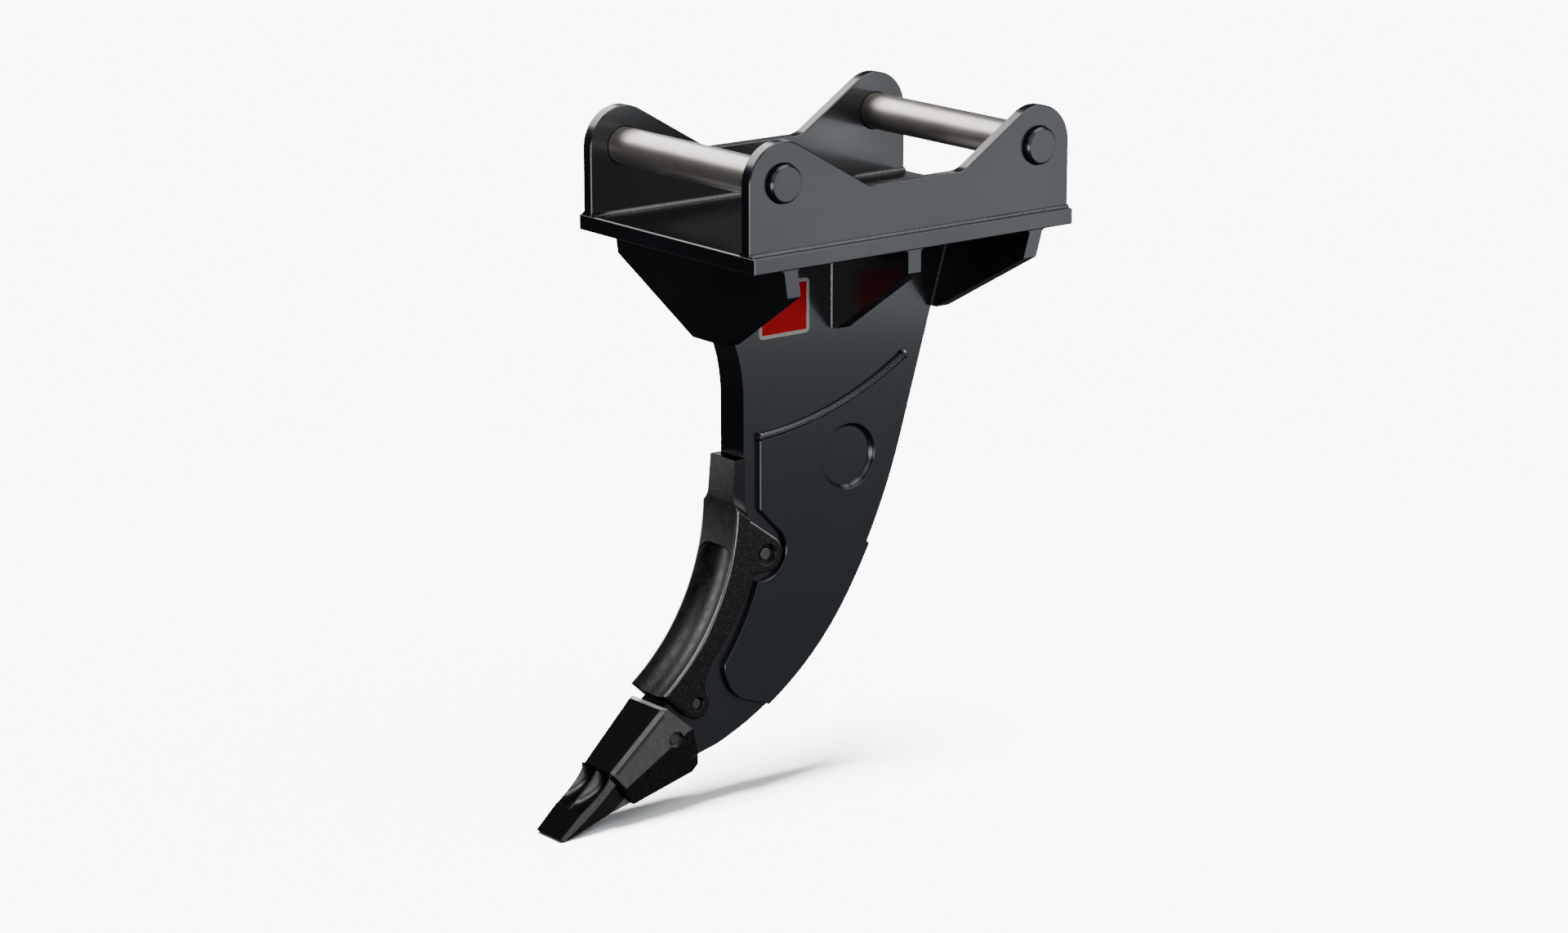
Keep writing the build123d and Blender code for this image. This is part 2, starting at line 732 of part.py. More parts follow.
bevel_share = mouth_bevel / hypot(*mouth_back)
with BuildPart() as tooth:
    with BuildSketch(tooth_side):
        Polygon(
            (mouth_bevel, 0),
            (tooth_length, 0),
            (tooth_length, tip_drop + tip_thickness),
            keel_start,
            heel_corner,
            mouth_low,
            mouth_back,
            (mouth_back[0] * bevel_share, mouth_back[1] * bevel_share),
            align=None,
        )
    extrude(amount=tooth_mouth_half_width + overrun, both=True)
    with BuildSketch(tooth_plan.offset(-tooth_length)):
        with BuildLine():
            Polyline(
                (mouth_back[0] - overrun, 0),
                (mouth_back[0] - overrun, tooth_mouth_half_width),
                (0, tooth_mouth_half_width),
                (chisel_start, chisel_start_half_width),
                (chisel_start + chisel_shoulder, chisel_half_width),
                (tooth_length, tip_half_width),
                (tooth_length, 0),
            )
            mirror(about=Plane.XZ)
        make_face()
    extrude(amount=2 * tooth_length, mode=Mode.INTERSECT)
    for side in (-1, 1):
        facet = keel_plane(side)
        keep_up = facet.to_local_coords(Vector(*tooth_origin)).Z > 0
        split(bisect_by=facet, keep=Keep.TOP if keep_up else Keep.BOTTOM)
    for side in (-1, 1):
        bevel = ((-2 * top_band, -top_band), (top_band, 2 * top_band), (top_band, -top_band))
        add(edge_tool(side, -mouth_bevel, chisel_start, *bevel), mode=Mode.SUBTRACT)
        groove_low = panel_groove_top + panel_groove_width
        groove = [(-panel_groove_depth, panel_groove_top), (panel_groove_depth, panel_groove_top)]
        groove += [(panel_groove_depth, groove_low), (-panel_groove_depth, groove_low)]
        add(edge_tool(side, panel_groove_margin, chisel_start - top_band, *groove), mode=Mode.SUBTRACT)
    with BuildSketch(tooth_side):
        Polygon(
            (chisel_start, 0),
            (chisel_drop_s, chisel_drop),
            (tooth_length, tip_drop),
            (tooth_length, -tip_drop),
            (chisel_start, -tip_drop),
            align=None,
        )
    extrude(amount=tooth_mouth_half_width, both=True, mode=Mode.SUBTRACT)
    for side in (-1, 1):
        add(chisel_facet_tool(side), mode=Mode.SUBTRACT)
        sections = (
            scoop_section(side * ridge_half_width, scoop_start, ridge_top, top_band),
            scoop_section(side * chisel_half_width / 2, scoop_start, scoop_depth, top_band),
            scoop_section(side * chisel_half_width, scoop_start, scoop_rim, top_band),
        )
        loft(sections=sections, mode=Mode.SUBTRACT)
    add(nose_block(nose_play, tooth_pin_diameter * 2), mode=Mode.SUBTRACT)
    pin_place = from_tooth(*tooth_pin_at)
    with BuildSketch(Plane.XZ.offset(-tooth_mouth_half_width)):
        with Locations(pin_place):
            Circle(tooth_pin_diameter / 2 + lock_pin_play)
    extrude(amount=2 * tooth_mouth_half_width, mode=Mode.SUBTRACT)
    for side in (-tooth_mouth_half_width, tooth_mouth_half_width - recess_depth):
        with BuildSketch(Plane.XZ.offset(side)):
            with Locations(pin_place):
                Circle(tooth_recess_diameter / 2)
        extrude(amount=recess_depth, mode=Mode.SUBTRACT)
finish(tooth, "tooth")


# Weld beads: fillets with a slightly swollen face, laid where the plates meet.
def bead_section(plane, second_angle, leg):
    """A fillet bead between the plane's local X and the direction at an angle to it."""
    end = on_circle((0, 0), leg, second_angle)
    swell = leg * (cos(radians(second_angle / 2)) + bead_swell)
    with BuildSketch(plane) as section:
        with BuildLine():
            Line((0, 0), (leg, 0))
            ThreePointArc((leg, 0), on_circle((0, 0), swell, second_angle / 2), end)
            Line(end, (0, 0))
        make_face()
    return section.sketch


def straight_bead(start, end, first_side, angle=square_corner):
    """A fillet bead from start to end, one leg along first_side, the other turned by the angle."""
    run = Vector(*end) - Vector(*start)
    plane = Plane(origin=start, x_dir=first_side, z_dir=run)
    with BuildPart() as bead:
        extrude(bead_section(plane, angle, weld_leg), amount=run.length)
    return bead.part


left, right = Vector(0, -1, 0), Vector(0, 1, 0)
ahead, behind = Vector(-1, 0, 0), Vector(1, 0, 0)
front_end, rear_end = -ear_radius, pin_centres + ear_radius
with BuildPart() as side_plate_weld_left:
    for y, way, turn in ((-ear_face, left, -square_corner), (-ear_gap / 2, right, square_corner)):
        add(straight_bead((front_end, y, head_top), (rear_end, y, head_top), way, turn))
finish(side_plate_weld_left, "side_plate_weld_left")
with BuildPart() as side_plate_weld_right:
    mirror(side_plate_weld_left.part, about=Plane.XZ)
finish(side_plate_weld_right, "side_plate_weld_right")


def cross_bead(x, near, far, way, opening):
    """A bead under the head plate along a gusset's face, opening the angle between plate and face."""
    turn = opening if way is behind else -opening
    return straight_bead((x, -far, head_underside), (x, -near, head_underside), way, turn)


def flank_bead(x, lean_tan, depth, way):
    """A bead down the corner of a gusset's face and the left flank of the shank."""
    top = (x + lean_tan * weld_leg, -flank, head_underside - weld_leg)
    foot = (x + lean_tan * depth, -flank, head_underside - depth)
    return straight_bead(top, foot, left, square_corner if way is ahead else -square_corner)


def mirrored_pair(bead):
    """A bead on the left flank and its mirror image on the right."""
    with BuildPart() as pair:
        add(bead)
        mirror(bead, about=Plane.XZ)
    return pair.part


with BuildPart() as front_gusset_weld:
    add(cross_bead(front_gusset_x, -gusset_half_width, gusset_half_width, ahead, square_corner + front_lean))
    back_x = front_gusset_x + front_across
    add(mirrored_pair(cross_bead(back_x, flank, gusset_half_width, behind, square_corner - front_lean)))
    add(mirrored_pair(flank_bead(back_x, front_tan, front_gusset_depth, behind)))
finish(front_gusset_weld, "front_gusset_weld")

with BuildPart() as rear_gusset_weld:
    back_x = rear_gusset_x + rear_across
    add(cross_bead(back_x, -gusset_half_width, gusset_half_width, behind, square_corner + rear_lean))
    add(mirrored_pair(cross_bead(rear_gusset_x, flank, gusset_half_width, ahead, square_corner - rear_lean)))
    add(mirrored_pair(flank_bead(rear_gusset_x, -rear_tan, rear_gusset_depth, ahead)))
finish(rear_gusset_weld, "rear_gusset_weld")

with BuildPart() as mid_gusset_weld_left:
    for face_x, way in ((mid_front, ahead), (mid_rear, behind)):
        add(cross_bead(face_x, flank, gusset_half_width, way, square_corner))
        add(flank_bead(face_x, 0, mid_gusset_depth, way))
finish(mid_gusset_weld_left, "mid_gusset_weld_left")
with BuildPart() as mid_gusset_weld_right:
    mirror(mid_gusset_weld_left.part, about=Plane.XZ)
finish(mid_gusset_weld_right, "mid_gusset_weld_right")

# The shank's own beads run under the head plate between the gussets.
with BuildPart() as shank_weld:
    runs = (
        (shank_top_front[0] + shank_weld_front_gap, mid_front - weld_leg),
        (mid_rear + weld_leg, rear_gusset_x - shank_weld_rear_gap),
    )
    for start_x, end_x in runs:
        bead = straight_bead((start_x, -flank, head_underside), (end_x, -flank, head_underside), left)
        add(mirrored_pair(bead))
finish(shank_weld, "shank_weld")

# Bead along the top edge of a wear plate, and the ring bead inside its plug hole.
wear_top_centre, wear_top_radius = wear_top.arc_center, wear_top.radius
bead_start = degrees(atan2(wear_top_front_z - wear_top_centre.Y, wear_front_x - wear_top_centre.X))
bead_end = degrees(atan2(wear_tip[1] - wear_top_centre.Y, wear_tip[0] - wear_top_centre.X))
bead_sweep = bead_end - bead_start - degrees(2 * wear_tip_round / wear_top_radius)
bead_turn = radians(bead_start)
wear_bead_plane = Plane(
    origin=(wear_top_centre.X, 0, wear_top_centre.Y),
    x_dir=(cos(bead_turn), 0, sin(bead_turn)),
    z_dir=(sin(bead_turn), 0, -cos(bead_turn)),
)
bead_leg = wear_thickness - wear_edge
bead_slope = sin(radians(square_corner / 2))
bead_face = bead_leg * (bead_slope + bead_swell) * bead_slope
bead_toe = wear_top_radius - bead_leg
with BuildPart() as wear_plate_weld_left:
    with BuildSketch(wear_bead_plane):
        with BuildLine():
            Polyline((wear_top_radius, flank + bead_leg), (wear_top_radius, flank), (bead_toe, flank))
            ThreePointArc(
                (bead_toe, flank),
                (wear_top_radius - bead_face, flank + bead_face),
                (wear_top_radius, flank + bead_leg),
            )
        make_face()
    revolve(axis=Axis(wear_bead_plane.origin, (0, -1, 0)), revolution_arc=bead_sweep)
finish(wear_plate_weld_left, "wear_plate_weld_left")
with BuildPart() as wear_plate_weld_right:
    mirror(wear_plate_weld_left.part, about=Plane.XZ)
finish(wear_plate_weld_right, "wear_plate_weld_right")

with BuildPart() as plug_weld_left:
    with BuildSketch(Plane(origin=(plug_at[0], 0, plug_at[1]), x_dir=(1, 0, 0), z_dir=(0, 0, -1))):
        Polygon(
            (plug_radius, flank),
            (plug_radius - plug_weld_leg, flank),
            (plug_radius, flank + plug_weld_leg),
            align=None,
        )
    revolve(axis=Axis((plug_at[0], 0, plug_at[1]), (0, -1, 0)))
finish(plug_weld_left, "plug_weld_left")
with BuildPart() as plug_weld_right:
    mirror(plug_weld_left.part, about=Plane.XZ)
finish(plug_weld_right, "plug_weld_right")
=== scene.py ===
# %% [markdown]
# A ripper shank: a welded plate head with two bright bars, a long curved shank with wear plates, a cast
# guard and a forged tooth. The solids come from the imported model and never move. Here they get their
# finishes, a few finer pieces, a floor, light and a camera. Units are metres, +Z is up, the tooth points
# to -X, and the origin is the middle of the front bar.

from math import atan2, cos, radians, sin

import bpy
from mathutils import Matrix, Vector


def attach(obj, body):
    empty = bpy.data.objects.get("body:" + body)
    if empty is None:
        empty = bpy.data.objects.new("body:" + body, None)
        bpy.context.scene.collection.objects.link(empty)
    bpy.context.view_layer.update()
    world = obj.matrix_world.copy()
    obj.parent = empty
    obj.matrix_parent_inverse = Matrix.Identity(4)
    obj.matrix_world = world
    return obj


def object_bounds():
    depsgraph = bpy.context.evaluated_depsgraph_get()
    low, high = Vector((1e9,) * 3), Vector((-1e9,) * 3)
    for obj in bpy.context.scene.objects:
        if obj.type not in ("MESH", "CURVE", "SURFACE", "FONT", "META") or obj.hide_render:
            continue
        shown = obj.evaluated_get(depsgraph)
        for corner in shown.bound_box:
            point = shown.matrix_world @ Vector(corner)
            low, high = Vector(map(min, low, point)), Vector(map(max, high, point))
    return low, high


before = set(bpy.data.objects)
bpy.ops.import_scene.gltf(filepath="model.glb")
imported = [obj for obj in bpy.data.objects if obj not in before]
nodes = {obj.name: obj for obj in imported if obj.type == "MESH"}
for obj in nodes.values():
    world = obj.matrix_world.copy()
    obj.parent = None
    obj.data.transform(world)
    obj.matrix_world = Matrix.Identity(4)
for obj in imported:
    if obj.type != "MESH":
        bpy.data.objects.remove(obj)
cad_low, cad_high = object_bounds()
bpy.ops.object.select_all(action="DESELECT")
print("nodes:", len(nodes), "box:", [round(v, 3) for v in (*cad_low, *cad_high)])

# %% [markdown]
# Every finish is a small tree of shader nodes. One helper adds a node, sets its inputs and attributes and
# links other nodes' outputs to it, so that each recipe below reads from top to bottom. Colours are picked
# as sRGB hex values, but the shader works in linear light, so one function turns the first into the second.

# %% Helpers for the finishes
MM = 0.001
EDGE_SAMPLES = 8


def linear(hex_colour):
    """An sRGB hex colour such as "#2a2d33" as linear red, green, blue and alpha."""
    parts = [int(hex_colour[i : i + 2], 16) / 255 for i in (1, 3, 5)]
    return (*(c / 12.92 if c <= 0.04045 else ((c + 0.055) / 1.055) ** 2.4 for c in parts), 1.0)


def add(tree, kind, inputs=None, links=None, **attributes):
    """Adds a node to a tree, with attributes, input values by name or number, and links to inputs."""
    made = tree.nodes.new(kind)
    for name, value in attributes.items():
        setattr(made, name, value)
    for name, value in (inputs or {}).items():
        made.inputs[name].default_value = value
    for name, socket in (links or {}).items():
        tree.links.new(socket, made.inputs[name])
    return made


def new_finish(name):
    """A new material: its tree, the Principled shader and the object coordinates."""
    material = bpy.data.materials.new(name)
    material.use_nodes = True
    tree = material.node_tree
    shader = tree.nodes["Principled BSDF"]
    place = add(tree, "ShaderNodeTexCoord").outputs["Object"]
    return material, tree, shader, place


def clear_coat(shader):
    """The clear shine that cured enamel has over its colour."""
    shader.inputs["Coat Weight"].default_value = 0.4
    shader.inputs["Coat Roughness"].default_value = 0.12


print("1 mm in scene units:", MM)

# %% [markdown]
# The head and the shank are hot-rolled plate under a thick dark slate enamel, sprayed and cured glossy.
# To the eye that is a very dark, slightly blue body colour under a clear, sharp shine. The shine isn't
# perfect: sprayed paint dries with orange peel, a swell about 2 mm across, and its gloss varies
# softly over a hand's width. Both come from noise, one in the bump and one in the roughness. A Bevel node
# bends the shading at sharp edges, which catch a thin line of light there as ground and painted edges do.

# %% Slate enamel over plate
PLATE_EDGE = 1.5 * MM
CLOUD_SIZE = 180 * MM


def slate_enamel(name, body, patch, roughness, swell_size=2.2, swell_height=0.007):
    """Glossy dark enamel: a body colour, a second in faint patches, and a swell; its sizes are in mm."""
    material, tree, shader, place = new_finish(name)
    cloud = add(tree, "ShaderNodeTexNoise", {"Scale": 1 / CLOUD_SIZE, "Detail": 3.0}, {"Vector": place})
    swell = add(
        tree,
        "ShaderNodeTexNoise",
        {"Scale": 1 / (swell_size * MM), "Detail": 1.0},
        {"Vector": place},
    )
    patches = add(
        tree,
        "ShaderNodeMapRange",
        {"From Min": 0.35, "From Max": 0.75},
        {"Value": cloud.outputs["Fac"]},
    )
    colour = add(
        tree,
        "ShaderNodeMix",
        {6: linear(body), 7: linear(patch)},
        {"Factor": patches.outputs["Result"]},
        data_type="RGBA",
    )
    gloss = add(
        tree,
        "ShaderNodeMapRange",
        {"From Min": 0.3, "From Max": 0.7, "To Min": roughness - 0.03, "To Max": roughness + 0.03},
        {"Value": cloud.outputs["Fac"]},
    )
    edge = add(tree, "ShaderNodeBevel", {"Radius": PLATE_EDGE}, samples=EDGE_SAMPLES)
    bump = add(
        tree,
        "ShaderNodeBump",
        {"Strength": 1.0, "Distance": swell_height * MM},
        {"Height": swell.outputs["Fac"], "Normal": edge.outputs["Normal"]},
    )
    tree.links.new(colour.outputs[2], shader.inputs["Base Color"])
    tree.links.new(gloss.outputs["Result"], shader.inputs["Roughness"])
    tree.links.new(bump.outputs["Normal"], shader.inputs["Normal"])
    clear_coat(shader)
    return material


frame_enamel = slate_enamel("slate_enamel_on_plate", "#0f1216", "#13161b", 0.3)
wear_enamel = slate_enamel("slate_enamel_on_wear_plate", "#0a0e15", "#0e121a", 0.3)
bead_enamel = slate_enamel("slate_enamel_on_weld", "#0f1216", "#13161b", 0.26, 6.0, 0.6)
print("enamels:", frame_enamel.name, wear_enamel.name, bead_enamel.name)

# %% [markdown]
# The two bars are ground round steel, left bright where the coupler's jaws close on them. The painter
# masked them between the ears, so the ends outside the ears wear a dark enamel like that of the plates.
# Grinding leaves fine rings round the bar: noise that changes quickly along Y and hardly at all round it.

# %% Ground bars with painted ends
BARE_REACH = 225.2 * MM
RING_PITCH = 0.9 * MM
STAIN_SIZE = 50 * MM
BAR_EDGE = 2.0 * MM


def ground_bar():
    """Ground steel as far as the masking reached from the middle plane, and enamel beyond it."""
    material, tree, shader, place = new_finish("ground_steel_bar")
    split = add(tree, "ShaderNodeSeparateXYZ", links={"Vector": place})
    reach = add(tree, "ShaderNodeMath", links={0: split.outputs["Y"]}, operation="ABSOLUTE")
    bare = add(tree, "ShaderNodeMath", {1: BARE_REACH}, {0: reach.outputs[0]}, operation="LESS_THAN")
    stretched = add(tree, "ShaderNodeMapping", {"Scale": (8, 1 / RING_PITCH, 8)}, {"Vector": place})
    rings = add(tree, "ShaderNodeTexNoise", {"Scale": 1.0, "Detail": 3.0}, {"Vector": stretched.outputs[0]})
    stain = add(tree, "ShaderNodeTexNoise", {"Scale": 1 / STAIN_SIZE, "Detail": 4.0}, {"Vector": place})
    steel = add(
        tree,
        "ShaderNodeMix",
        {6: linear("#d6d2cc"), 7: linear("#b3a79b")},
        {"Factor": stain.outputs["Fac"]},
        data_type="RGBA",
    )
    colour = add(
        tree,
        "ShaderNodeMix",
        {6: linear("#15181d")},
        {"Factor": bare.outputs[0], 7: steel.outputs[2]},
        data_type="RGBA",
    )
    metal = add(tree, "ShaderNodeMath", {1: 0.85}, {0: bare.outputs[0]}, operation="MULTIPLY")
    ground = add(
        tree,
        "ShaderNodeMapRange",
        {"From Min": 0.3, "From Max": 0.7, "To Min": 0.34, "To Max": 0.46},
        {"Value": rings.outputs["Fac"]},
    )
    painted = add(tree, "ShaderNodeMapRange", {"To Min": 0.75, "To Max": 1.0}, {"Value": bare.outputs[0]})
    rough = add(
        tree,
        "ShaderNodeMath",
        links={0: ground.outputs["Result"], 1: painted.outputs["Result"]},
        operation="MULTIPLY",
    )
    edge = add(tree, "ShaderNodeBevel", {"Radius": BAR_EDGE}, samples=EDGE_SAMPLES)
    bump = add(
        tree,
        "ShaderNodeBump",
        {"Strength": 0.4, "Distance": 0.01 * MM},
        {"Height": rings.outputs["Fac"], "Normal": edge.outputs["Normal"]},
    )
    tree.links.new(colour.outputs[2], shader.inputs["Base Color"])
    tree.links.new(metal.outputs[0], shader.inputs["Metallic"])
    tree.links.new(rough.outputs[0], shader.inputs["Roughness"])
    tree.links.new(bump.outputs["Normal"], shader.inputs["Normal"])
    clear_coat(shader)
    return material


bar_steel = ground_bar()
print("bars:", bar_steel.name)

# %% [markdown]
# The guard and the tooth are steel castings and forgings, shot-blasted and dipped in thin black paint. The
# sand mould leaves grains and pits a few millimetres across, which break the light into speckles, and the
# thin paint lets a little olive through on the high grains. A light grey band is painted along the guard's
# outer rims: a painted highlight, standing in for the line of light that the rims catch.


# %% Thin black paint over a casting
def cast_black(name, body, grain_colour, grain_size, gloss, depth, edge_radius, grain_from, rim=None):
    """Black paint over grains and pits, with sizes in mm.

    The grains show from grain_from outwards of the middle plane. A light grey band, a painted highlight
    of the rims, lies between the two distances given for the rim from that plane.
    """
    material, tree, shader, place = new_finish(name)
    coarse = add(
        tree,
        "ShaderNodeTexNoise",
        {"Scale": 1 / (grain_size * 4 * MM), "Detail": 4.0, "Roughness": 0.6},
        {"Vector": place},
    )
    grains = add(
        tree,
        "ShaderNodeTexNoise",
        {"Scale": 1 / (grain_size * MM), "Detail": 3.0, "Roughness": 0.7},
        {"Vector": place},
    )
    high = add(
        tree,
        "ShaderNodeMapRange",
        {"From Min": 0.52, "From Max": 0.66},
        {"Value": grains.outputs["Fac"]},
    )
    split = add(tree, "ShaderNodeSeparateXYZ", links={"Vector": place})
    reach = add(tree, "ShaderNodeMath", links={0: split.outputs["Y"]}, operation="ABSOLUTE")
    outer = add(
        tree,
        "ShaderNodeMapRange",
        {"From Min": grain_from * MM, "From Max": (grain_from + 4) * MM},
        {"Value": reach.outputs[0]},
    )
    share = add(
        tree,
        "ShaderNodeMath",
        links={0: high.outputs["Result"], 1: outer.outputs["Result"]},
        operation="MULTIPLY",
    )
    colour = add(
        tree,
        "ShaderNodeMix",
        {6: linear(body), 7: linear(grain_colour)},
        {"Factor": share.outputs[0]},
        data_type="RGBA",
    )
    # Painted highlight: a light grey band between two distances from the middle plane, standing in for the
    # line of light on the rims.
    if rim:
        inside = add(
            tree,
            "ShaderNodeMapRange",
            {"From Min": (rim[0] - 1) * MM, "From Max": rim[0] * MM},
            {"Value": reach.outputs[0]},
        )
        highlight_fade = add(
            tree,
            "ShaderNodeMapRange",
            {"From Min": (rim[1] - 0.3) * MM, "From Max": rim[1] * MM, "To Min": 1.0, "To Max": 0.0},
            {"Value": reach.outputs[0]},
        )
        painted_highlight = add(
            tree,
            "ShaderNodeMath",
            links={0: inside.outputs["Result"], 1: highlight_fade.outputs["Result"]},
            operation="MULTIPLY",
        )
        colour = add(
            tree,
            "ShaderNodeMix",
            {7: linear("#8c8c8a")},
            {"Factor": painted_highlight.outputs[0], 6: colour.outputs[2]},
            data_type="RGBA",
        )
    rough = add(
        tree,
        "ShaderNodeMapRange",
        {"From Min": 0.35, "From Max": 0.65, "To Min": gloss[0], "To Max": gloss[1]},
        {"Value": coarse.outputs["Fac"]},
    )
    relief = add(
        tree,
        "ShaderNodeMath",
        links={0: grains.outputs["Fac"], 1: coarse.outputs["Fac"]},
        operation="ADD",
    )
    edge = add(tree, "ShaderNodeBevel", {"Radius": edge_radius * MM}, samples=EDGE_SAMPLES)
    bump = add(
        tree,
        "ShaderNodeBump",
        {"Strength": 0.8, "Distance": depth * MM},
        {"Height": relief.outputs[0], "Normal": edge.outputs["Normal"]},
    )
    tree.links.new(colour.outputs[2], shader.inputs["Base Color"])
    tree.links.new(rough.outputs["Result"], shader.inputs["Roughness"])
    tree.links.new(bump.outputs["Normal"], shader.inputs["Normal"])
    shader.inputs["Metallic"].default_value = 1.0
    return material


guard_casting = cast_black(
    "black_paint_on_sand_casting",
    body="#373737",
    grain_colour="#65624f",
    grain_size=4.0,
    gloss=(0.28, 0.42),
    depth=0.3,
    edge_radius=3.0,
    grain_from=52,
    # a painted highlight along the guard's outer rims
    rim=(49.5, 54.8),
)
tooth_forging = cast_black(
    "black_paint_on_forging",
    body="#565656",
    grain_colour="#626262",
    grain_size=2.5,
    gloss=(0.24, 0.34),
    depth=0.12,
    edge_radius=2.5,
    grain_from=0,
)
print("castings:", guard_casting.name, tooth_forging.name)

# %% [markdown]
# The lock pins are turned steel that has gone grey in the open air. They sit deep in their holes, so what
# shows is a rim that catches the light.


# %% Turned lock pins
def turned_steel():
    """Grey turned steel with a mottled stain."""
    material, tree, shader, place = new_finish("weathered_turned_steel")
    stain = add(tree, "ShaderNodeTexNoise", {"Scale": 1 / (6 * MM), "Detail": 4.0}, {"Vector": place})
    colour = add(
        tree,
        "ShaderNodeMix",
        {6: linear("#63605c"), 7: linear("#85817b")},
        {"Factor": stain.outputs["Fac"]},
        data_type="RGBA",
    )
    bump = add(
        tree,
        "ShaderNodeBump",
        {"Strength": 0.5, "Distance": 0.1 * MM},
        {"Height": stain.outputs["Fac"]},
    )
    tree.links.new(colour.outputs[2], shader.inputs["Base Color"])
    tree.links.new(bump.outputs["Normal"], shader.inputs["Normal"])
    shader.inputs["Metallic"].default_value = 1.0
    shader.inputs["Roughness"].default_value = 0.4
    return material


lock_steel = turned_steel()
print("lock pins:", lock_steel.name)

# %% [markdown]
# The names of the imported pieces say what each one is, so its finish follows from its name. Only the
# material changes here: no mesh of the model is touched.


# %% Give every piece its finish
def finish_of(name):
    """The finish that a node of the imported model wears."""
    if "weld" in name:
        return bead_enamel
    if name in ("front_pin", "rear_pin"):
        return bar_steel
    if name == "guard":
        return guard_casting
    if name == "tooth":
        return tooth_forging
    if name.startswith("wear_plate"):
        return wear_enamel
    if "pin" in name or "ring" in name:
        return lock_steel
    return frame_enamel


for name, piece in nodes.items():
    piece.data.materials.clear()
    piece.data.materials.append(finish_of(name))
print("dressed:", len(nodes))

# %% [markdown]
# Behind the front gusset the near flank carries a plain vinyl sticker: a red field with a cream border and
# round corners. It is a thin sheet, so it starts as a plane on the flank, gets its corners from a bevel
# on the vertices and its border from an inset, and is then given a film's thickness.

# %% Sticker on the near flank
FLANK_Y = -35 * MM
FILM = 0.25 * MM
STICKER_CENTRE = Vector((172 * MM, FLANK_Y - FILM, -287 * MM))
STICKER_LENGTH, STICKER_HEIGHT = 118 * MM, 104 * MM
STICKER_CORNER = 9 * MM
STICKER_BORDER = 7 * MM

bpy.ops.mesh.primitive_plane_add(size=1, location=STICKER_CENTRE, rotation=(radians(90), 0, 0))
sticker = bpy.context.object
sticker.name = "flank_sticker"
sticker.scale = (STICKER_LENGTH, STICKER_HEIGHT, 1)
bpy.ops.object.transform_apply(location=True, rotation=True, scale=True)
bpy.ops.object.mode_set(mode="EDIT")
bpy.ops.mesh.select_all(action="SELECT")
bpy.ops.mesh.bevel(offset=STICKER_CORNER, segments=6, affect="VERTICES")
bpy.ops.mesh.select_all(action="SELECT")
bpy.ops.mesh.inset(thickness=STICKER_BORDER, depth=0)
bpy.ops.object.mode_set(mode="OBJECT")
thick = sticker.modifiers.new("film", "SOLIDIFY")
thick.thickness = FILM
bpy.ops.object.modifier_apply(modifier="film")
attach(sticker, "root")
print("sticker faces:", len(sticker.data.polygons))

# %% [markdown]
# Both inks are printed on the same satin vinyl. The middle of a face tells which ink it gets: red when it
# lies inside the border, cream when it lies in it.


# %% Vinyl for the sticker
def vinyl(name, ink, faded):
    """Printed vinyl film: one ink, faded in soft patches, with a satin surface."""
    material, tree, shader, place = new_finish(name)
    fade = add(tree, "ShaderNodeTexNoise", {"Scale": 1 / (20 * MM), "Detail": 3.0}, {"Vector": place})
    colour = add(
        tree,
        "ShaderNodeMix",
        {6: linear(ink), 7: linear(faded)},
        {"Factor": fade.outputs["Fac"]},
        data_type="RGBA",
    )
    tree.links.new(colour.outputs[2], shader.inputs["Base Color"])
    shader.inputs["Roughness"].default_value = 0.4
    shader.inputs["Specular IOR Level"].default_value = 0.1
    return material


border_vinyl = vinyl("cream_vinyl", "#ded6cc", "#c9c0b4")
field_vinyl = vinyl("red_vinyl", "#e00014", "#cc0012")
sticker.data.materials.append(border_vinyl)
sticker.data.materials.append(field_vinyl)
field_x = STICKER_LENGTH / 2 - STICKER_BORDER
field_z = STICKER_HEIGHT / 2 - STICKER_BORDER
for face in sticker.data.polygons:
    offset = face.center - STICKER_CENTRE
    face.material_index = int(abs(offset.x) < field_x and abs(offset.z) < field_z)
print("sticker inks:", [m.name for m in sticker.data.materials])

# %% [markdown]
# The bead along the top edge of each wear plate was laid by hand, and such a bead is a row of small
# puddles, each frozen half over the one before. One puddle is shaped from a ball, full in front and flat
# behind. Copies of it follow a shallow arc over the plain bead of the model, with a fuller one at each end,
# where the welder started and stopped. A voxel remesh then melts the row into one closed skin.

# %% Rippled beads on the wear plates
BEAD_ENDS = Vector((110, 0, -521.5)) * MM, Vector((454.5, 0, -414.5)) * MM
BEAD_SAG = 23.5 * MM
PUDDLE_DEPTH = 38.5 * MM
PUDDLE_RADIUS = 7.5 * MM
PUDDLE_PITCH = 5 * MM
PUDDLE_BACK = 0.45
END_SWELL = (1.25, 1.1, 1.25)
SKIN_GRAIN = 1.2 * MM


def shape_puddle():
    """One frozen puddle at the origin, facing +X."""
    bpy.ops.object.select_all(action="DESELECT")
    bpy.ops.mesh.primitive_uv_sphere_add(segments=20, ring_count=10, radius=PUDDLE_RADIUS)
    puddle = bpy.context.object
    bpy.ops.object.mode_set(mode="EDIT")
    bpy.ops.mesh.select_mode(type="VERT")
    bpy.ops.mesh.select_all(action="DESELECT")
    bpy.ops.object.mode_set(mode="OBJECT")
    for vertex in puddle.data.vertices:
        vertex.select = vertex.co.x < -0.1 * MM
    bpy.ops.object.mode_set(mode="EDIT")
    bpy.ops.transform.resize(value=(PUDDLE_BACK, 1, 1), center_override=(0, 0, 0))
    bpy.ops.object.mode_set(mode="OBJECT")
    return puddle


